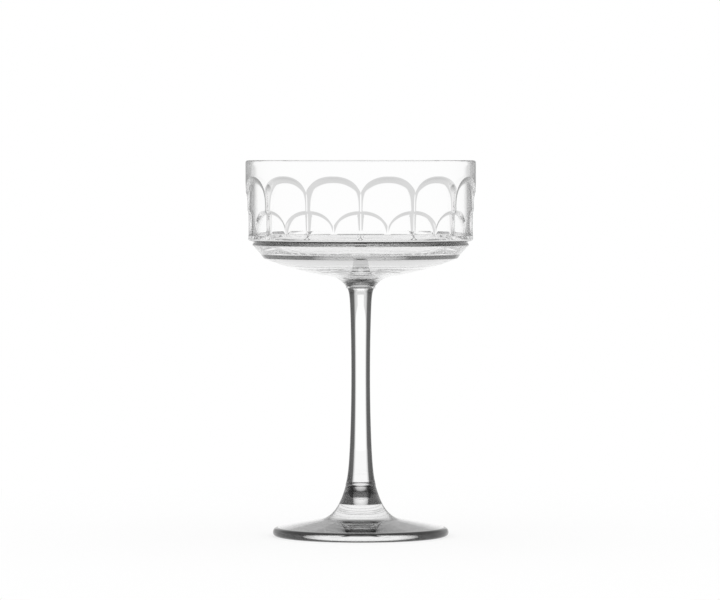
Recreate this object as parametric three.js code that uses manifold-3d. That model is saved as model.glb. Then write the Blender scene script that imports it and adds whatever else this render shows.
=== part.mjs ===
// Champagne coupe in clear pressed glass: a foot, a stem and a bowl, fused end to end while hot.
// Millimetres, +Z up. The foot stands on z = 0 and the glass is turned about the Z axis.
import * as THREE from 'three';
import { mergeVertices } from 'three/addons/utils/BufferGeometryUtils.js';
import Module from 'manifold-3d';

const wasm = await Module();
wasm.setup();

// Seams between the pieces, with the small round that the hot joint leaves at its edge
const LOWER_SEAM_DIAMETER = 12.3;
const UPPER_SEAM_DIAMETER = 11;
const SEAM_ROUND = 0.3;

// Foot: a flat ring touches the table, round a shallow hollow
const FOOT_DIAMETER = 72.6;
const FOOT_HEIGHT = 21.1;
const FOOT_EDGE_HEIGHT = 1.7;
const FOOT_EDGE_ROUND = 2;
const FOOT_RING_INSET = 2.1;
const FOOT_RING_WIDTH = 6.5;
const FOOT_HOLLOW_DEPTH = 1.5;
const FOOT_CONE_SLOPE = 0.182;
const FOOT_COVE_DIAMETER = 34;
const FOOT_COVE_REACH = 6.2;
const FOOT_COVE_FLARE = 1.9;
const FOOT_COVE_RISE = 7.2;

// Stem: diameters at set distances from the two seams, thinnest midway between them
const STEM_LENGTH = 81.2;
const STEM_WAIST_DIAMETER = 7.74;
const STEM_LOW_TAPER_DIAMETER = 10.8;
const STEM_LOW_TAPER_ABOVE = 5.9;
const STEM_LOW_SHANK_DIAMETER = 8.9;
const STEM_LOW_SHANK_ABOVE = 18.5;
const STEM_TOP_SHANK_DIAMETER = 8.5;
const STEM_TOP_SHANK_BELOW = 12;
const STEM_TOP_TAPER_DIAMETER = 9.5;
const STEM_TOP_TAPER_BELOW = 3.2;

// Bowl, from the seam up: stub, neck, round underside, stepped base, groove and straight wall
const RIM_DIAMETER = 95;
const STUB_LEDGE = 0.6;
const STUB_HEIGHT = 0.7;
const NECK_DIAMETER = 29;
const NECK_HEIGHT = 5.15;
const NECK_COVE_FLARE = 2.6;
const UNDERSIDE_RISE = 7.15;
const UNDERSIDE_SAG = 1.5;
const BASE_CORNER_INSET = 7.5;
const BASE_CORNER_RISE = 1.7;
const BASE_STEP_INSET = 6.3;
const BASE_CHAMFER_RISE = 3.8;
const BASE_EDGE_INSET = 2.8;
const GROOVE_RISE = 1.2;
const GROOVE_INSET = 3.3;
const GROOVE_LEDGE = 0.2;
const WALL_FOOT_RISE = 0.8;
const WALL_HEIGHT = 32.9;
const WALL_THICKNESS = 2.9;
const WALL_DRAFT = 1;
const LIP_ROUND = 1.1;

// Inside of the bowl: a wall that leans out, a bevel, a shoulder, a dish, and a dimple over the stem
const INNER_CORNER_RISE = 0.25;
const FLOOR_BEVEL_WIDTH = 5.4;
const FLOOR_BEVEL_DROP = 4.8;
const SHOULDER_WIDTH = 2;
const SHOULDER_RISE = 0.35;
const DISH_REACH = 4.2;
const DISH_DROP = 4.3;
const PAN_DIAMETER = 30;
const PAN_HEIGHT = 8.95;
const PAN_REACH = 9;
const PAN_LIFT = 0.25;
const DIMPLE_HEIGHT = 5.25;
const DIMPLE_BRIM_REACH = 5;
const DIMPLE_BRIM_DROP = 0.15;
const DIMPLE_REACH = 5;

// Arcade pressed into the wall: two tiers of round arches, the lower one half a step round
const ARCH_COUNT = 13;
const RIM_BAND_HEIGHT = 6.7;
const ARCH_OVERLAP = 1.1;
const ARCH_HEAD_HEIGHT = 12;
const ARCH_FULLNESS = 2.3;
const ARCH_TIER_DROP = 13.9;
const UPPER_ARCH_BEVEL = 3.6;
const LOWER_ARCH_BEVEL = 2;
const UPPER_ARCH_DEPTH = 1.4;
const LOWER_ARCH_DEPTH = 0.85;
const FOOT_BAND_INSET = 1.1;
const FOOT_BAND_HEIGHT = 1.9;
const FOOT_BAND_RAMP = 0.7;

// Facets round each piece, and steps along its curves
const FOOT_SIDES = 52;
const STEM_SIDES = 28;
const BASE_SIDES = 52;
const COLUMNS_PER_ARCH = 12;
const ARCADE_ROWS = 15;
const STEM_STEPS = 18;
const COVE_STEPS = 7;
const ROUND_STEPS = 4;
const LIP_STEPS = 2;
const SAME_PLACE = 1e-3;

const GLASS_COLOUR = 0xf3f6f5;
const GLASS_ROUGHNESS = 0.03;
const GLASS_OPACITY = 0.35;

const lowerSeamRadius = LOWER_SEAM_DIAMETER / 2;
const upperSeamRadius = UPPER_SEAM_DIAMETER / 2;
const lowerSeamZ = FOOT_HEIGHT;
const upperSeamZ = lowerSeamZ + STEM_LENGTH;

const rimRadius = RIM_DIAMETER / 2;
const innerRimRadius = rimRadius - WALL_THICKNESS;
const innerFootRadius = innerRimRadius - WALL_DRAFT;
const grooveRadius = rimRadius - GROOVE_INSET;

// Heights in the bowl, above the upper seam
const cornerHeight = NECK_HEIGHT + UNDERSIDE_RISE;
const stepHeight = cornerHeight + BASE_CORNER_RISE;
const edgeHeight = stepHeight + BASE_CHAMFER_RISE;
const grooveHeight = edgeHeight + GROOVE_RISE;
const wallFootHeight = grooveHeight + WALL_FOOT_RISE;
const footBandTop = wallFootHeight + FOOT_BAND_HEIGHT;
const arcadeFootHeight = footBandTop + FOOT_BAND_RAMP;
const rimHeight = wallFootHeight + WALL_HEIGHT;
const archTopHeight = rimHeight - RIM_BAND_HEIGHT;

// Each arch laps its neighbours; inside its outline a bevel runs down to a flat floor
const archStep = (2 * Math.PI) / ARCH_COUNT;
const archHalfWidth = (archStep * rimRadius) / 2 + ARCH_OVERLAP;
const upperArchCentre = archTopHeight - ARCH_HEAD_HEIGHT;
const lowerArchCentre = upperArchCentre - ARCH_TIER_DROP;

function point(radius, height) {
  return new THREE.Vector2(radius, height);
}

// Points along a curve, without the first, which the outline already holds
function along(curve, steps) {
  return curve.getPoints(steps).slice(1);
}

// Turns an outline of radius and height about the Z axis; angle 0 faces -Y
function turned(outline, sides) {
  const geometry = new THREE.LatheGeometry(outline, sides);
  geometry.rotateX(Math.PI / 2);
  return geometry;
}

function toSolid(geometry) {
  const bare = geometry.clone();
  bare.deleteAttribute('normal');
  bare.deleteAttribute('uv');
  const welded = mergeVertices(bare);
  const corners = welded.index.array;
  const triangles = [];
  for (let i = 0; i < corners.length; i += 3) {
    const [a, b, c] = corners.subarray(i, i + 3);
    if (a !== b && b !== c && c !== a) triangles.push(a, b, c);
  }
  const vertProperties = new Float32Array(welded.attributes.position.array);
  const triVerts = new Uint32Array(triangles);
  return new wasm.Manifold(new wasm.Mesh({ numProp: 3, vertProperties, triVerts }));
}

function toGeometry(solid) {
  const mesh = solid.getMesh();
  const geometry = new THREE.BufferGeometry();
  geometry.setAttribute('position', new THREE.BufferAttribute(mesh.vertProperties, 3));
  geometry.setIndex(new THREE.BufferAttribute(mesh.triVerts, 1));
  geometry.computeVertexNormals();
  return geometry;
}

function footGeometry() {
  const edge = FOOT_DIAMETER / 2;
  const edgeTop = FOOT_EDGE_HEIGHT + FOOT_EDGE_ROUND;
  const ringOuter = edge - FOOT_RING_INSET;
  const ringInner = ringOuter - FOOT_RING_WIDTH;
  const coneOuter = edge - FOOT_EDGE_ROUND;
  const coneInner = FOOT_COVE_DIAMETER / 2;
  const coneTop = edgeTop + (coneOuter - coneInner) * FOOT_CONE_SLOPE;
  const hollow = new THREE.QuadraticBezierCurve(
    point(0, FOOT_HOLLOW_DEPTH), point(ringInner / 2, FOOT_HOLLOW_DEPTH), point(ringInner, 0));
  const underEdge = new THREE.QuadraticBezierCurve(
    point(ringOuter, 0), point(edge, 0), point(edge, FOOT_EDGE_HEIGHT));
  const overEdge = new THREE.QuadraticBezierCurve(
    point(edge, FOOT_EDGE_HEIGHT),
    point(edge, edgeTop - FOOT_EDGE_ROUND * FOOT_CONE_SLOPE),
    point(coneOuter, edgeTop));
  const cove = new THREE.CubicBezierCurve(
    point(coneInner, coneTop),
    point(coneInner - FOOT_COVE_REACH, coneTop + FOOT_COVE_REACH * FOOT_CONE_SLOPE),
    point(lowerSeamRadius + FOOT_COVE_FLARE, coneTop + FOOT_COVE_RISE),
    point(lowerSeamRadius, FOOT_HEIGHT - SEAM_ROUND));
  const outline = [
    point(0, FOOT_HOLLOW_DEPTH),
    ...along(hollow, ROUND_STEPS),
    point(ringOuter, 0),
    ...along(underEdge, ROUND_STEPS),
    ...along(overEdge, ROUND_STEPS),
    point(coneInner, coneTop),
    ...along(cove, COVE_STEPS),
    point(lowerSeamRadius - SEAM_ROUND, FOOT_HEIGHT),
    point(0, FOOT_HEIGHT),
  ];
  return turned(outline, FOOT_SIDES);
}

function stemGeometry() {
  const topShankHeight = STEM_LENGTH - STEM_TOP_SHANK_BELOW;
  const waistHeight = (STEM_LOW_SHANK_ABOVE + topShankHeight) / 2;
  const side = new THREE.SplineCurve([
    point(lowerSeamRadius, SEAM_ROUND),
    point(STEM_LOW_TAPER_DIAMETER / 2, STEM_LOW_TAPER_ABOVE),
    point(STEM_LOW_SHANK_DIAMETER / 2, STEM_LOW_SHANK_ABOVE),
    point(STEM_WAIST_DIAMETER / 2, waistHeight),
    point(STEM_TOP_SHANK_DIAMETER / 2, topShankHeight),
    point(STEM_TOP_TAPER_DIAMETER / 2, STEM_LENGTH - STEM_TOP_TAPER_BELOW),
    point(upperSeamRadius, STEM_LENGTH - SEAM_ROUND),
  ]);
  const outline = [
    point(0, 0),
    point(lowerSeamRadius - SEAM_ROUND, 0),
    ...side.getPoints(STEM_STEPS),
    point(upperSeamRadius - SEAM_ROUND, STEM_LENGTH),
    point(0, STEM_LENGTH),
  ];
  return turned(outline, STEM_SIDES);
}

// How far down the bevel of its nearest arch a point lies: 0 outside the arch, 1 on its floor
function archShare(turn, height, centreHeight, bevel) {
  const across = Math.abs(turn - Math.round(turn / archStep) * archStep) * rimRadius;
  const up = (Math.max(height - centreHeight, 0) * archHalfWidth) / ARCH_HEAD_HEIGHT;
  const reach = (across ** ARCH_FULLNESS + up ** ARCH_FULLNESS) ** (1 / ARCH_FULLNESS);
  return THREE.MathUtils.clamp((archHalfWidth - reach) / bevel, 0, 1);
}

// Depth of the pressed relief below the rim's radius; a pier between two arches faces angle 0
function reliefDepth(turn, height) {
  const upper = archShare(turn + archStep / 2, height, upperArchCentre, UPPER_ARCH_BEVEL);
  const lower = archShare(turn, height, lowerArchCentre, LOWER_ARCH_BEVEL);
  return upper * (UPPER_ARCH_DEPTH + LOWER_ARCH_DEPTH * lower);
}

// Full-round block of the wall with the arcade in its outside, before the inside is cut out
function wallGeometry() {
  const outline = [
    point(0, grooveHeight),
    point(grooveRadius, grooveHeight),
    point(rimRadius - FOOT_BAND_INSET, wallFootHeight),
    point(rimRadius - FOOT_BAND_INSET, footBandTop),
  ];
  for (let row = 0; row <= ARCADE_ROWS; row += 1) {
    const height = THREE.MathUtils.lerp(arcadeFootHeight, archTopHeight, row / ARCADE_ROWS);
    outline.push(point(rimRadius, height));
  }
  const lip = new THREE.QuadraticBezierCurve(
    point(rimRadius, rimHeight - LIP_ROUND),
    point(rimRadius, rimHeight),
    point(rimRadius - LIP_ROUND, rimHeight));
  outline.push(...lip.getPoints(LIP_STEPS), point(0, rimHeight));
  const geometry = turned(outline, ARCH_COUNT * COLUMNS_PER_ARCH);
  const place = geometry.attributes.position;
  for (let i = 0; i < place.count; i += 1) {
    const x = place.getX(i);
    const y = place.getY(i);
    const radius = Math.hypot(x, y);
    const onArcade = rimRadius - radius < SAME_PLACE && place.getZ(i) < archTopHeight;
    const depth = onArcade ? reliefDepth(Math.atan2(x, -y), place.getZ(i)) : 0;
    if (depth > 0) place.setXY(i, x * (1 - depth / radius), y * (1 - depth / radius));
  }
  return geometry;
}

// Stub, neck, underside and stepped base, reaching a little way up into the wall's block
function baseGeometry() {
  const stubRadius = upperSeamRadius + STUB_LEDGE;
  const neckRadius = NECK_DIAMETER / 2;
  const cornerRadius = rimRadius - BASE_CORNER_INSET;
  const coreRadius = grooveRadius - GROOVE_LEDGE;
  const neckCove = new THREE.CubicBezierCurve(
    point(stubRadius, STUB_HEIGHT),
    point(stubRadius, STUB_HEIGHT + SEAM_ROUND),
    point(stubRadius + NECK_COVE_FLARE, NECK_HEIGHT - SEAM_ROUND),
    point(neckRadius, NECK_HEIGHT));
  const underside = new THREE.QuadraticBezierCurve(
    point(neckRadius, NECK_HEIGHT),
    point((neckRadius + cornerRadius) / 2, (NECK_HEIGHT + cornerHeight) / 2 - UNDERSIDE_SAG),
    point(cornerRadius, cornerHeight));
  const outline = [
    point(0, 0),
    point(stubRadius - SEAM_ROUND, 0),
    point(stubRadius, SEAM_ROUND),
    point(stubRadius, STUB_HEIGHT),
    ...along(neckCove, COVE_STEPS),
    ...along(underside, COVE_STEPS),
    point(rimRadius - BASE_STEP_INSET, stepHeight),
    point(rimRadius - BASE_EDGE_INSET, edgeHeight),
    point(coreRadius, grooveHeight),
    point(coreRadius, wallFootHeight),
    point(0, wallFootHeight),
  ];
  return turned(outline, BASE_SIDES);
}

// Room inside the bowl: a dimple, a dish, a shoulder, a bevel, and a drafted side up past the rim
function insideGeometry() {
  const pastRim = rimHeight + LIP_ROUND;
  const innerCornerHeight = wallFootHeight + INNER_CORNER_RISE;
  const floorEdgeRadius = innerFootRadius - FLOOR_BEVEL_WIDTH;
  const floorEdgeHeight = innerCornerHeight - FLOOR_BEVEL_DROP;
  const shoulderRadius = floorEdgeRadius - SHOULDER_WIDTH;
  const shoulderHeight = floorEdgeHeight + SHOULDER_RISE;
  const panRadius = PAN_DIAMETER / 2;
  const dimple = new THREE.CubicBezierCurve(
    point(0, DIMPLE_HEIGHT),
    point(DIMPLE_REACH, DIMPLE_HEIGHT),
    point(panRadius - DIMPLE_BRIM_REACH, PAN_HEIGHT - DIMPLE_BRIM_DROP),
    point(panRadius, PAN_HEIGHT));
  const dish = new THREE.CubicBezierCurve(
    point(panRadius, PAN_HEIGHT),
    point(panRadius + PAN_REACH, PAN_HEIGHT + PAN_LIFT),
    point(shoulderRadius - DISH_REACH, shoulderHeight - DISH_DROP),
    point(shoulderRadius, shoulderHeight));
  const lip = new THREE.QuadraticBezierCurve(
    point(innerRimRadius, rimHeight - LIP_ROUND),
    point(innerRimRadius, rimHeight),
    point(innerRimRadius + LIP_ROUND, rimHeight));
  const outline = [
    point(0, DIMPLE_HEIGHT),
    ...along(dimple, COVE_STEPS),
    ...along(dish, COVE_STEPS),
    point(floorEdgeRadius, floorEdgeHeight),
    point(innerFootRadius, innerCornerHeight),
    ...lip.getPoints(LIP_STEPS),
    point(innerRimRadius + LIP_ROUND, pastRim),
    point(0, pastRim),
  ];
  return turned(outline, BASE_SIDES);
}

function bowlGeometry() {
  const outside = toSolid(wallGeometry()).add(toSolid(baseGeometry()));
  return toGeometry(outside.subtract(toSolid(insideGeometry())));
}

function glassPiece(name, geometry, seatZ) {
  const glass = new THREE.MeshStandardMaterial({
    color: GLASS_COLOUR,
    roughness: GLASS_ROUGHNESS,
    metalness: 0,
    transparent: true,
    opacity: GLASS_OPACITY,
  });
  const mesh = new THREE.Mesh(geometry, glass);
  mesh.name = name;
  mesh.position.z = seatZ;
  return mesh;
}

const coupe = new THREE.Group();
coupe.name = 'champagne_coupe';
coupe.add(glassPiece('foot', footGeometry(), 0));
coupe.add(glassPiece('stem', stemGeometry(), lowerSeamZ));
coupe.add(glassPiece('bowl', bowlGeometry(), upperSeamZ));

export default coupe;
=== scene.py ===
import math

import bmesh
import bpy
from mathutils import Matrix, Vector
from mathutils.geometry import interpolate_bezier


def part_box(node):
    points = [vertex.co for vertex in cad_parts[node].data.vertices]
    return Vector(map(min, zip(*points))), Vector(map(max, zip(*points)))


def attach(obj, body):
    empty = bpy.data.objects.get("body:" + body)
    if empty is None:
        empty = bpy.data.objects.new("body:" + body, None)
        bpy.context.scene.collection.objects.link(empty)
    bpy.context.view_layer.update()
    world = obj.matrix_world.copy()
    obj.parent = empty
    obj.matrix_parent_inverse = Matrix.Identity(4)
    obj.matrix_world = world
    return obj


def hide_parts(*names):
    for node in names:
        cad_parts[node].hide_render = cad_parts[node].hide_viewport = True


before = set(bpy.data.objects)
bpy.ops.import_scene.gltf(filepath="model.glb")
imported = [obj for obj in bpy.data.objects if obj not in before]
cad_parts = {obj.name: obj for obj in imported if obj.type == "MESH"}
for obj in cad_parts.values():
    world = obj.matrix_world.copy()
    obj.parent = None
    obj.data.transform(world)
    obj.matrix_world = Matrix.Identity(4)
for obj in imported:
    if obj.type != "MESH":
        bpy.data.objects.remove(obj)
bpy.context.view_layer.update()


# Foot
# A round foot pressed in clear glass, with a thick, fire-polished edge. It stands on a flat ring,
# round a shallow hollow, and its top rises in a low cone and a cove to the seam with the stem.

mm = 0.001
hair = 0.001 * mm
weld_reach = 0.1 * hair
foot_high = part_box("foot")[1]
foot_radius = foot_high.x
foot_height = foot_high.z
foot_edge_height = 1.7 * mm
foot_edge_round = 2.0 * mm
foot_ring_outer = foot_radius - 2.1 * mm
foot_ring_inner = foot_ring_outer - 6.5 * mm
foot_hollow_depth = 1.5 * mm
foot_cone_slope = 0.182
foot_cove_radius = 17.0 * mm
foot_cove_reach = 6.2 * mm
foot_cove_flare = 1.9 * mm
foot_cove_rise = 7.2 * mm
foot_neck_bottom = 13.6 * mm
lower_seam_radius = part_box("stem")[1].x
seam_round = 0.02 * mm
foot_hollow_steps = 40
foot_ring_steps = 6
foot_under_edge_steps = 14
foot_upper_edge_steps = 12
foot_cone_steps = 16
foot_cove_steps = 48
foot_columns = 208


def at(radius, height):
    """A point of an outline, in the plane that the outline is drawn in."""
    return Vector((radius, 0.0, height))


def straight(start, end, steps):
    """Points along a straight line, close enough together to keep a flat face flat when it is shaded."""
    return [start.lerp(end, step / steps) for step in range(steps + 1)]


def cubic(start, first, second, end, steps):
    """A curve from start to end that leaves towards first and arrives from second."""
    return list(interpolate_bezier(start, first, second, end, steps + 1))


def rounded(start, corner, end, steps):
    """A round from start to end that would meet at corner if it were sharp."""
    return cubic(start, start.lerp(corner, 2 / 3), end.lerp(corner, 2 / 3), end, steps)


def turn(shape, outline, columns, angle):
    """Adds the skin that an outline leaves when it is turned by an angle about the Z axis."""
    corners = [shape.verts.new(point) for point in outline]
    edges = [shape.edges.new(pair) for pair in zip(corners, corners[1:])]
    bmesh.ops.spin(shape, geom=corners + edges, cent=(0, 0, 0), axis=(0, 0, 1),
                   angle=angle, steps=columns)


def repeat_round(shape, times):
    """Copies a sector round the Z axis until it closes, and welds the copies."""
    sector = shape.verts[:] + shape.edges[:] + shape.faces[:]
    bmesh.ops.spin(shape, geom=sector, cent=(0, 0, 0), axis=(0, 0, 1),
                   angle=2 * math.pi * (times - 1) / times, steps=times - 1, use_duplicate=True)
    bmesh.ops.remove_doubles(shape, verts=shape.verts, dist=weld_reach)


def turned(outline, columns, sectors=8):
    """The closed shape that an outline makes when it is turned all the way round the Z axis."""
    shape = bmesh.new()
    turn(shape, outline, columns // sectors, 2 * math.pi / sectors)
    repeat_round(shape, sectors)
    bmesh.ops.recalc_face_normals(shape, faces=shape.faces)
    return shape


foot_edge_top = foot_edge_height + foot_edge_round
foot_cone_outer = foot_radius - foot_edge_round
foot_cone_top = foot_edge_top + (foot_cone_outer - foot_cove_radius) * foot_cone_slope
foot_corner = at(foot_radius, foot_edge_top - foot_edge_round * foot_cone_slope)
foot_cove_start = at(foot_cove_radius, foot_cone_top)
foot_outline = (
    rounded(at(0, foot_hollow_depth), at(foot_ring_inner / 2, foot_hollow_depth),
            at(foot_ring_inner, 0), foot_hollow_steps)
    + straight(at(foot_ring_inner, 0), at(foot_ring_outer, 0), foot_ring_steps)[1:]
    + rounded(at(foot_ring_outer, 0), at(foot_radius, 0),
              at(foot_radius, foot_edge_height), foot_under_edge_steps)[1:]
    + rounded(at(foot_radius, foot_edge_height), foot_corner,
              at(foot_cone_outer, foot_edge_top), foot_upper_edge_steps)[1:]
    + straight(at(foot_cone_outer, foot_edge_top), foot_cove_start, foot_cone_steps)[1:]
    + cubic(foot_cove_start,
            at(foot_cove_radius - foot_cove_reach, foot_cone_top + foot_cove_reach * foot_cone_slope),
            at(lower_seam_radius + foot_cove_flare, foot_cone_top + foot_cove_rise),
            at(lower_seam_radius, foot_height - seam_round), foot_cove_steps)[1:]
    + [at(lower_seam_radius - seam_round, foot_height), at(0, foot_height)]
)

glass_bend = 1.5
even_slant = 0.5


def clear_glass(name, painted_slant_shades):
    """Colourless glass with a polished skin, with shade painted into its colour by slant. Each painted shade
    tone goes with a slant: 0 faces the eye, 1 is edge-on.
    """
    material = bpy.data.materials.new(name)
    material.use_nodes = True
    nodes, links = material.node_tree.nodes, material.node_tree.links
    shader = nodes["Principled BSDF"]
    shader.inputs["Roughness"].default_value = 0.0
    shader.inputs["IOR"].default_value = glass_bend
    shader.inputs["Transmission Weight"].default_value = 1.0
    slant = nodes.new("ShaderNodeLayerWeight")
    slant.inputs["Blend"].default_value = even_slant
    ramp = nodes.new("ShaderNodeValToRGB")
    stops = ramp.color_ramp.elements
    while len(stops) < len(painted_slant_shades):
        stops.new(0.5)
    for stop, (place, tone) in zip(stops, painted_slant_shades):
        stop.position = place
        stop.color = (tone, tone, tone, 1)
    links.new(slant.outputs["Facing"], ramp.inputs["Fac"])
    # The ramp paints shade into the base colour, darker as the surface slants away from the eye.
    links.new(ramp.outputs["Color"], shader.inputs["Base Color"])
    return material


def fused_seam():
    """Where two pieces are melted into one there is no surface left for light to bend at."""
    material = bpy.data.materials.new("fused_seam")
    material.use_nodes = True
    nodes, links = material.node_tree.nodes, material.node_tree.links
    nodes.remove(nodes["Principled BSDF"])
    clear = nodes.new("ShaderNodeBsdfTransparent")
    links.new(clear.outputs["BSDF"], nodes["Material Output"].inputs["Surface"])
    return material


# Thick round glass turns dark surroundings towards the eye where it slants away; here that dark is painted
# shade, put by slant into the colour of the foot's cone, of its edge and of its neck. The edge is painted
# darkest, and the neck is painted like the stem.
foot_glass = clear_glass("painted_shade_glass_foot", [(0.0, 1.0), (0.62, 0.8), (0.74, 0.1), (0.86, 0.1), (0.93, 0.6)])
edge_glass = clear_glass("painted_shade_glass_edge", [(0.0, 1.0), (0.1, 1.0), (0.25, 0.005), (1.0, 0.0)])
foot_neck_glass = clear_glass("painted_shade_glass_foot_neck", [(0.0, 1.0), (0.05, 1.0), (0.13, 0.012), (1.0, 0.012)])
seam = fused_seam()


def on_seam(corner, height, radius):
    """True for a corner of the flat disc where a piece is fused to the next."""
    return abs(corner.z - height) < 2 * seam_round and corner.xy.length < radius + hair


def glass_piece(name, shape, seams, glass):
    """A finished piece of glass; seams are the (height, radius) of the discs where it is fused."""
    for face in shape.faces:
        face.smooth = True
        for height, radius in seams:
            if all(on_seam(vertex.co, height, radius) for vertex in face.verts):
                face.smooth = False
                face.material_index = 1
    mesh = bpy.data.meshes.new(name)
    shape.to_mesh(mesh)
    shape.free()
    mesh.materials.append(glass)
    mesh.materials.append(seam)
    piece = bpy.data.objects.new(name, mesh)
    bpy.context.scene.collection.objects.link(piece)
    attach(piece, "root")
    return piece


def zone(piece, glass, covers):
    """Gives its own glass, with its own shade painted in by slant, to the part of a piece that covers()
    accepts, by radius and height.
    """
    piece.data.materials.append(glass)
    for face in piece.data.polygons:
        if covers(face.center.xy.length, face.center.z):
            face.material_index = len(piece.data.materials) - 1


foot_seams = [(foot_height, lower_seam_radius)]
foot = glass_piece("glass_foot", turned(foot_outline, foot_columns), foot_seams, foot_glass)
zone(foot, edge_glass, lambda radius, height: radius > foot_ring_outer and height < foot_edge_top)
zone(foot, foot_neck_glass, lambda radius, height: foot_neck_bottom < height < foot_height - seam_round)
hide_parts("foot")


# Stem
# A solid stem drawn out of hot glass, thinnest in the middle, where the pull was longest. Its two
# ends are fused to the foot below and to the bowl above.

stem_low, stem_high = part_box("stem")
stem_bottom = stem_low.z
stem_top = stem_high.z
upper_seam_radius = 5.5 * mm
waist_radius = 3.87 * mm
waist_height = (stem_bottom + stem_top) / 2 + 5.0 * mm
low_spread = 1.45 * mm
low_flare = 0.98 * mm
low_flare_height = 4.3 * mm
top_spread = 0.8 * mm
top_flare = 0.83 * mm
top_flare_height = 1.9 * mm
stem_steps = 90
stem_columns = 128


def stem_radius(height):
    """The drawn shape: a slow swell both ways from the waist, and a quick flare into each seam."""
    if height < waist_height:
        swell = low_spread * ((waist_height - height) / (waist_height - stem_bottom)) ** 2
    else:
        swell = top_spread * ((height - waist_height) / (stem_top - waist_height)) ** 2
    flare = low_flare * math.exp((stem_bottom - height) / low_flare_height)
    flare += top_flare * math.exp((height - stem_top) / top_flare_height)
    return waist_radius + swell + flare


stem_outline = [at(0, stem_bottom), at(lower_seam_radius - seam_round, stem_bottom)]
for step in range(stem_steps + 1):
    height = stem_bottom + seam_round + (stem_top - stem_bottom - 2 * seam_round) * step / stem_steps
    stem_outline.append(at(stem_radius(height), height))
stem_outline += [at(upper_seam_radius - seam_round, stem_top), at(0, stem_top)]

# Shade painted in by slant gives the stem the bright core between two dark sides that a solid rod of glass
# shows.
drawn_glass = clear_glass("painted_shade_glass_drawn", [(0.0, 1.0), (0.1, 1.0), (0.21, 0.012), (1.0, 0.012)])
stem_seams = [(stem_bottom, lower_seam_radius), (stem_top, upper_seam_radius)]
stem = glass_piece("glass_stem", turned(stem_outline, stem_columns), stem_seams, drawn_glass)
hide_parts("stem")


# Bowl
# The bowl is pressed in one piece of clear glass: a straight wall with two tiers of round arches sunk
# into its outside, over a stepped base with a round underside. A short stub below is fused to the stem.

bowl_low, bowl_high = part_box("bowl")
rim_radius = bowl_high.x
rim_height = bowl_high.z
seam_height = bowl_low.z
lip_round = 1.1 * mm
inner_rim_radius = rim_radius - 2.9 * mm
inner_foot_radius = rim_radius - 3.9 * mm
stub_radius = upper_seam_radius + 0.6 * mm
stub_top = seam_height + 0.7 * mm
neck_radius = 14.5 * mm
neck_height = seam_height + 5.15 * mm
neck_flare = 2.6 * mm
neck_lead = 0.3 * mm
corner_radius = rim_radius - 7.5 * mm
corner_height = neck_height + 7.15 * mm
underside_sag = 1.5 * mm
step_radius = rim_radius - 6.3 * mm
step_height = corner_height + 1.7 * mm
edge_radius = rim_radius - 2.8 * mm
edge_height = step_height + 3.8 * mm
groove_radius = rim_radius - 3.4 * mm
groove_height = edge_height + 1.2 * mm
groove_lip_radius = groove_radius + 0.1 * mm
groove_lip_height = groove_height + 0.05 * mm
wall_foot_height = groove_height + 0.8 * mm
wall_foot_round = 0.5 * mm
foot_band_radius = rim_radius - 1.1 * mm
foot_band_top = wall_foot_height + 1.9 * mm
corner_round = 0.25 * mm
inner_corner_height = wall_foot_height + 0.25 * mm
inner_corner_round = 0.6 * mm
floor_edge_radius = inner_foot_radius - 5.4 * mm
floor_edge_height = inner_corner_height - 4.8 * mm
floor_edge_round = 0.4 * mm
shoulder_radius = floor_edge_radius - 2.0 * mm
shoulder_height = floor_edge_height + 0.35 * mm
shoulder_reach = 4.2 * mm
shoulder_drop = 4.3 * mm
pan_radius = 15.0 * mm
pan_height = seam_height + 8.95 * mm
pan_reach = 9.0 * mm
pan_rise = 0.25 * mm
dimple_height = seam_height + 5.25 * mm
dimple_reach = 5.0 * mm
dimple_drop = 0.15 * mm

arch_count = 13
arch_step = 2 * math.pi / arch_count
arcade_foot = foot_band_top + 0.7 * mm
arch_top = rim_height - 6.7 * mm
rim_band_foot = arch_top + 0.4 * mm
arch_half_width = arch_step * rim_radius / 2 + 1.1 * mm
arch_head_height = 12.0 * mm
arch_fullness = 2.3
upper_arch_centre = arch_top - arch_head_height
upper_arch_bevel = 3.6 * mm
upper_arch_depth = 1.4 * mm
lower_arch_centre = upper_arch_centre - 13.9 * mm
lower_arch_bevel = 2.0 * mm
lower_arch_depth = 0.85 * mm

columns_per_arch = 60
plain_columns_per_arch = 16
arcade_rows = 58
underside_steps = 24
neck_steps = 24
corner_steps = 4
wall_foot_steps = 5
lip_steps = 6
inner_corner_steps = 6
dish_steps = 28
dimple_steps = 20
round_lead = 1.25


def softened(points, reaches, steps):
    """An outline whose inner corners are rounded off, each from its own reach before to the same after."""
    outline = [points[0]]
    for before, corner, after, reach in zip(points, points[1:], points[2:], reaches):
        back = (before - corner).normalized()
        on = (after - corner).normalized()
        outline.append(corner + back * reach * round_lead)
        outline += rounded(corner + back * reach, corner, corner + on * reach, steps)
        outline.append(corner + on * reach * round_lead)
    return outline + [points[-1]]


def arch_share(angle, height, centre, bevel):
    """How far down the round bevel of its nearest arch a point lies: 0 outside it, 1 on its floor."""
    across = abs(angle - round(angle / arch_step) * arch_step) * rim_radius
    up = max(height - centre, 0.0) * arch_half_width / arch_head_height
    reach = (across ** arch_fullness + up ** arch_fullness) ** (1 / arch_fullness)
    inward = min(max((arch_half_width - reach) / bevel, 0.0), 1.0)
    return inward * (2.0 - inward)


def relief_depth(angle, height):
    """Depth of the pressing below the rim's radius; a pier between two upper arches faces the front."""
    upper = arch_share(angle + arch_step / 2, height, upper_arch_centre, upper_arch_bevel)
    lower = arch_share(angle, height, lower_arch_centre, lower_arch_bevel)
    return upper * (upper_arch_depth + lower_arch_depth * lower)


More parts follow.
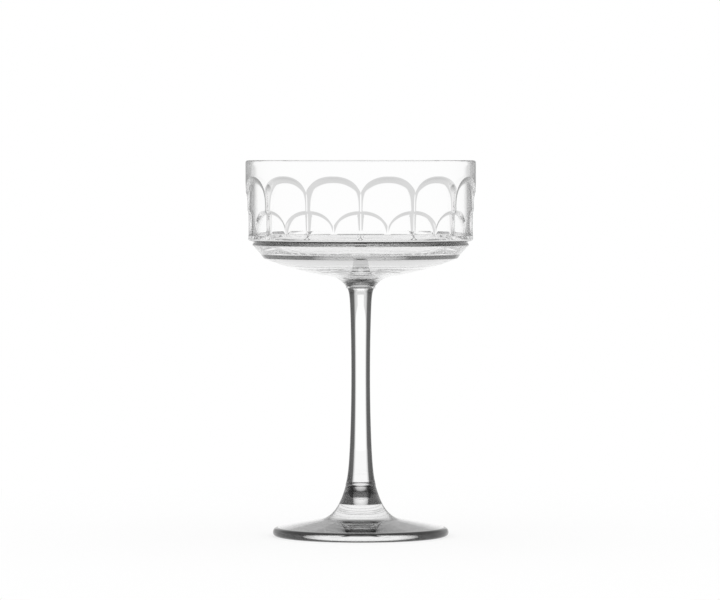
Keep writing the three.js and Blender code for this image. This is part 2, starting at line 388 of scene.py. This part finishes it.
underside_corner = at((neck_radius + corner_radius) / 2, (neck_height + corner_height) / 2 - underside_sag)
underside = rounded(at(neck_radius, neck_height), underside_corner,
                    at(corner_radius, corner_height), underside_steps)
base_outline = (
    [at(0, seam_height), at(upper_seam_radius - seam_round, seam_height),
     at(stub_radius - seam_round, seam_height), at(stub_radius, seam_height + seam_round)]
    + cubic(at(stub_radius, stub_top), at(stub_radius, stub_top + neck_lead),
            at(stub_radius + neck_flare, neck_height - neck_lead), at(neck_radius, neck_height), neck_steps)
    + underside[1:-2]
    + softened([underside[-2], at(corner_radius, corner_height), at(step_radius, step_height),
                at(edge_radius, edge_height), at(groove_radius, groove_height)],
               [corner_round, corner_round, corner_round], corner_steps)
)
wall_outline = softened([at(groove_lip_radius, groove_lip_height), at(foot_band_radius, wall_foot_height),
                         at(foot_band_radius, foot_band_top)], [wall_foot_round], wall_foot_steps)
for row in range(arcade_rows + 1):
    wall_outline.append(at(rim_radius, arcade_foot + (arch_top - arcade_foot) * row / arcade_rows))
wall_outline.append(at(rim_radius, rim_band_foot))
wall_outline += rounded(at(rim_radius, rim_height - lip_round), at(rim_radius, rim_height),
                        at(rim_radius - lip_round, rim_height), lip_steps)
shoulder = at(shoulder_radius, shoulder_height)
pan = at(pan_radius, pan_height)
dish = cubic(shoulder, at(shoulder_radius - shoulder_reach, shoulder_height - shoulder_drop),
             at(pan_radius + pan_reach, pan_height + pan_rise), pan, dish_steps)
dimple = cubic(pan, at(pan_radius - dimple_reach, pan_height - dimple_drop),
               at(dimple_reach, dimple_height), at(0, dimple_height), dimple_steps)
inside_outline = (
    rounded(at(inner_rim_radius + lip_round, rim_height), at(inner_rim_radius, rim_height),
            at(inner_rim_radius, rim_height - lip_round), lip_steps)
    + softened([at(inner_rim_radius, rim_height - 2 * lip_round), at(inner_foot_radius, inner_corner_height),
                at(floor_edge_radius, floor_edge_height), shoulder, dish[1]],
               [inner_corner_round, floor_edge_round, floor_edge_round], inner_corner_steps)
    + dish[2:] + dimple[1:]
)

bowl_shape = bmesh.new()
turn(bowl_shape, wall_outline, columns_per_arch, arch_step)
for vertex in bowl_shape.verts:
    radius = vertex.co.xy.length
    if rim_radius - radius < hair and vertex.co.z < arch_top:
        depth = relief_depth(math.atan2(vertex.co.x, -vertex.co.y), vertex.co.z)
        vertex.co.xy *= (radius - depth) / radius
turn(bowl_shape, base_outline, plain_columns_per_arch, arch_step)
turn(bowl_shape, inside_outline, plain_columns_per_arch, arch_step)
repeat_round(bowl_shape, arch_count)
open_edges = [edge for edge in bowl_shape.edges if edge.is_boundary]
lip_edges = [edge for edge in open_edges if edge.verts[0].co.z > arch_top]
groove_edges = [edge for edge in open_edges if edge.verts[0].co.z < arch_top]
bmesh.ops.bridge_loops(bowl_shape, edges=lip_edges)
bmesh.ops.bridge_loops(bowl_shape, edges=groove_edges)
bmesh.ops.recalc_face_normals(bowl_shape, faces=bowl_shape.faces)

through_near_wall = 1.5


def quiet_behind(material):
    """Lets light that has come through the near wall pass the far one, so that its arches stay quiet."""
    nodes, links = material.node_tree.nodes, material.node_tree.links
    path = nodes.new("ShaderNodeLightPath")
    is_far = nodes.new("ShaderNodeMath")
    is_far.operation = "GREATER_THAN"
    is_far.inputs[1].default_value = through_near_wall
    links.new(path.outputs["Transmission Depth"], is_far.inputs[0])
    far_wall = nodes.new("ShaderNodeBsdfTransparent")
    near_or_far = nodes.new("ShaderNodeMixShader")
    links.new(is_far.outputs["Value"], near_or_far.inputs["Fac"])
    links.new(nodes["Principled BSDF"].outputs["BSDF"], near_or_far.inputs[1])
    links.new(far_wall.outputs["BSDF"], near_or_far.inputs[2])
    links.new(near_or_far.outputs["Shader"], nodes["Material Output"].inputs["Surface"])


# The thin wall keeps its clear colour until it is nearly edge-on, where shade is painted into it. The step,
# the groove and the neck, which are thick and narrow, have shade painted in from a smaller slant, and the
# groove is painted half dark even where it faces the eye.
bowl_glass = clear_glass("clear_glass_pressed", [(0.0, 1.0), (1.0, 1.0)])
wall_glass = clear_glass("painted_shade_glass_wall", [(0.0, 1.0), (0.6, 1.0), (0.7, 0.25), (0.85, 0.04), (1.0, 0.04)])
step_glass = clear_glass("painted_shade_glass_step", [(0.0, 1.0), (0.12, 0.8), (0.3, 0.03), (1.0, 0.03)])
groove_glass = clear_glass("painted_shade_glass_groove", [(0.0, 0.5), (0.1, 0.2), (0.3, 0.03), (1.0, 0.03)])
neck_glass = clear_glass("painted_shade_glass_neck", [(0.0, 1.0), (0.2, 1.0), (0.4, 0.02), (0.6, 0.05), (0.75, 0.8)])
quiet_behind(wall_glass)
step_inner = corner_radius - 0.1 * mm
groove_inner = groove_radius - 0.1 * mm
bowl_seams = [(seam_height, upper_seam_radius - seam_round)]
bowl = glass_piece("glass_bowl", bowl_shape, bowl_seams, bowl_glass)
zone(bowl, wall_glass, lambda radius, height: height > foot_band_top)
zone(bowl, step_glass, lambda radius, height: radius > step_inner and corner_height < height < step_height)
zone(bowl, groove_glass,
     lambda radius, height: radius > groove_inner and edge_height < height < wall_foot_height)
zone(bowl, neck_glass, lambda radius, height: radius < neck_radius and stub_top < height < neck_height)
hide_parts("bowl")


# Table
# A plain white table top that keeps the soft shadow of the glass. Seen in the glass it is white
# paper, so that the foot and the stem stay clear.

table_radius = 0.3
table_segments = 128
table_paint_seen = 0.3
table_paint_plain = 0.9
table_tone = 0.95


def worked(nodes, links, operation, first, second):
    """The output of a Math node; each side is a socket or a number."""
    node = nodes.new("ShaderNodeMath")
    node.operation = operation
    for socket, value in zip(node.inputs, (first, second)):
        if isinstance(value, float):
            socket.default_value = value
        else:
            links.new(value, socket)
    return node.outputs["Value"]


def seen_in_glass(nodes, links):
    """1 for light on its way through or off the glass, 0 for any other."""
    path = nodes.new("ShaderNodeLightPath")
    return worked(nodes, links, "MAXIMUM", path.outputs["Is Transmission Ray"], path.outputs["Is Glossy Ray"])


def stage_piece(name, shape, material):
    """A finished piece of the stage, which isn't part of the glass."""
    mesh = bpy.data.meshes.new(name)
    shape.to_mesh(mesh)
    shape.free()
    mesh.materials.append(material)
    piece = bpy.data.objects.new(name, mesh)
    bpy.context.scene.collection.objects.link(piece)
    return piece


table_white = bpy.data.materials.new("table_white")
table_white.use_nodes = True
nodes, links = table_white.node_tree.nodes, table_white.node_tree.links
by_eye = nodes.new("ShaderNodeLightPath").outputs["Is Camera Ray"]
by_glass = seen_in_glass(nodes, links)
less_for_eye = worked(nodes, links, "MULTIPLY", by_eye, table_paint_seen - table_paint_plain)
paint_tone = worked(nodes, links, "ADD", less_for_eye, table_paint_plain)
not_by_glass = worked(nodes, links, "SUBTRACT", 1.0, by_glass)
eye_glow = worked(nodes, links, "MULTIPLY", by_eye, 1.0 - table_paint_seen)
glass_glow = worked(nodes, links, "MULTIPLY", by_glass, table_tone)
paint = nodes["Principled BSDF"]
paint.inputs["Roughness"].default_value = 1.0
paint.inputs["Specular IOR Level"].default_value = 0.0
paint.inputs["Emission Color"].default_value = (1, 1, 1, 1)
links.new(worked(nodes, links, "MULTIPLY", paint_tone, not_by_glass), paint.inputs["Base Color"])
links.new(worked(nodes, links, "ADD", eye_glow, glass_glow), paint.inputs["Emission Strength"])
table_shape = bmesh.new()
bmesh.ops.create_circle(table_shape, cap_ends=True, segments=table_segments, radius=table_radius)
stage_piece("table", table_shape, table_white)


# Light
# A screen of light round the table: a white card with a narrow head behind the glass and a pale room
# on the other sides. It shows only in the glass, where it draws the arches. The room lights the rest.

screen_radius = 1.0
screen_bottom = -0.85
screen_top = 0.4
screen_segments = 128
card_bottom = -0.5
card_bottom_clear = -0.3
card_shoulder_low = 0.075
card_shoulder_high = 0.115
card_top_clear = 0.22
card_top = 0.34
card_half_width = math.radians(24.0)
card_head_half_width = math.radians(12.0)
card_softness = 0.02
card_head_softness = 0.05
fade_start = -1.0
fade_end = 2.0
side_start = math.radians(26.5)
side_softness = 0.03
side_tone = 0.85
sky_bottom = 0.25
sky_tone = 0.68
sky_dims_from = 0.2
sky_dims_to = 0.7
zenith_tone = 0.15
low_tone = 0.8
low_dims_to = -0.1
light_bounces = 48


def eased(nodes, links, value, start, end, low, high):
    """Goes smoothly from low to high while value goes from start to end."""
    node = nodes.new("ShaderNodeMapRange")
    node.interpolation_type = "SMOOTHSTEP"
    links.new(value, node.inputs["Value"])
    for socket, given in zip(node.inputs[1:], (start, end, low, high)):
        socket.default_value = given
    return node.outputs["Result"]


def blended(nodes, links, share, first, second):
    """Goes from first to second while share goes from 0 to 1; each is a socket or a number."""
    step = worked(nodes, links, "SUBTRACT", second, first)
    return worked(nodes, links, "ADD", first, worked(nodes, links, "MULTIPLY", step, share))


def place_parts(nodes, links, coordinates):
    """A texture coordinate's X, Y and Z."""
    source = nodes.new("ShaderNodeTexCoord")
    parts = nodes.new("ShaderNodeSeparateXYZ")
    links.new(source.outputs[coordinates], parts.inputs["Vector"])
    return parts


def from_behind(nodes, links, place):
    """The angle from straight behind the glass, to either side."""
    angle = worked(nodes, links, "ARCTAN2", place.outputs["X"], place.outputs["Y"])
    return worked(nodes, links, "ABSOLUTE", angle, 0.0)


screen_light = bpy.data.materials.new("screen_light")
screen_light.use_nodes = True
nodes, links = screen_light.node_tree.nodes, screen_light.node_tree.links
nodes.remove(nodes["Principled BSDF"])
place = place_parts(nodes, links, "Object")
height = place.outputs["Z"]
angle = from_behind(nodes, links, place)
half_width = eased(nodes, links, height, card_shoulder_low, card_shoulder_high,
                   card_half_width, card_head_half_width)
softness = eased(nodes, links, height, card_shoulder_low, card_shoulder_high,
                 card_softness, card_head_softness)
past_edge = worked(nodes, links, "DIVIDE", worked(nodes, links, "SUBTRACT", angle, half_width), softness)
card = eased(nodes, links, past_edge, fade_start, fade_end, 1.0, 0.0)
below_top = eased(nodes, links, height, card_top_clear, card_top, 1.0, 0.0)
above_bottom = eased(nodes, links, height, card_bottom, card_bottom_clear, 0.0, 1.0)
card = worked(nodes, links, "MULTIPLY", worked(nodes, links, "MULTIPLY", card, below_top), above_bottom)
sides = eased(nodes, links, angle, side_start - side_softness, side_start + side_softness,
              sky_tone, side_tone)
in_sky = eased(nodes, links, height, sky_bottom, screen_top, 0.0, 1.0)
room_tone = blended(nodes, links, in_sky, sides, sky_tone)
light = nodes.new("ShaderNodeEmission")
links.new(worked(nodes, links, "MAXIMUM", card, room_tone), light.inputs["Strength"])
links.new(light.outputs["Emission"], nodes["Material Output"].inputs["Surface"])
screen_shape = bmesh.new()
bmesh.ops.create_cone(screen_shape, cap_ends=False, segments=screen_segments, radius1=screen_radius,
                      radius2=screen_radius, depth=screen_top - screen_bottom)
bmesh.ops.translate(screen_shape, verts=screen_shape.verts, vec=(0, 0, (screen_top + screen_bottom) / 2))
screen = stage_piece("screen", screen_shape, screen_light)
screen.visible_camera = False
screen.visible_diffuse = False
screen.visible_shadow = False

room = bpy.data.worlds.new("white_room")
room.use_nodes = True
nodes, links = room.node_tree.nodes, room.node_tree.links
rise = place_parts(nodes, links, "Generated").outputs["Z"]
overhead = eased(nodes, links, rise, sky_dims_from, sky_dims_to, sky_tone, zenith_tone)
underneath = eased(nodes, links, rise, low_dims_to, 0.0, low_tone, 1.0)
room_seen = worked(nodes, links, "MINIMUM", overhead, underneath)
white_or_seen = blended(nodes, links, seen_in_glass(nodes, links), 1.0, room_seen)
links.new(white_or_seen, nodes["Background"].inputs["Strength"])
nodes["Background"].inputs["Color"].default_value = (1, 1, 1, 1)
scene = bpy.context.scene
scene.world = room
scene.cycles.max_bounces = light_bounces
scene.cycles.transmission_bounces = light_bounces
scene.cycles.glossy_bounces = light_bounces
scene.cycles.transparent_max_bounces = light_bounces
scene.view_settings.view_transform = "Standard"


# Camera
# A long lens on a stand at the height of the rim, so that the rim is a straight line. It is tilted
# down a little to take in the whole glass.

camera_distance = 1.9
pixel_size = 0.412 * mm
frame_width = 720
horizon_above_centre = 139.8
axis_right_of_centre = 0.7
lens_data = bpy.data.cameras.new("camera")
lens_data.sensor_width = 36.0
lens_data.lens = camera_distance / pixel_size / frame_width * lens_data.sensor_width
camera = bpy.data.objects.new("camera", lens_data)
scene.collection.objects.link(camera)
camera.location = (-axis_right_of_centre * pixel_size, -camera_distance, rim_height)
tilt = math.atan(horizon_above_centre * pixel_size / camera_distance)
camera.rotation_euler = (math.pi / 2 - tilt, 0, 0)
scene.camera = camera
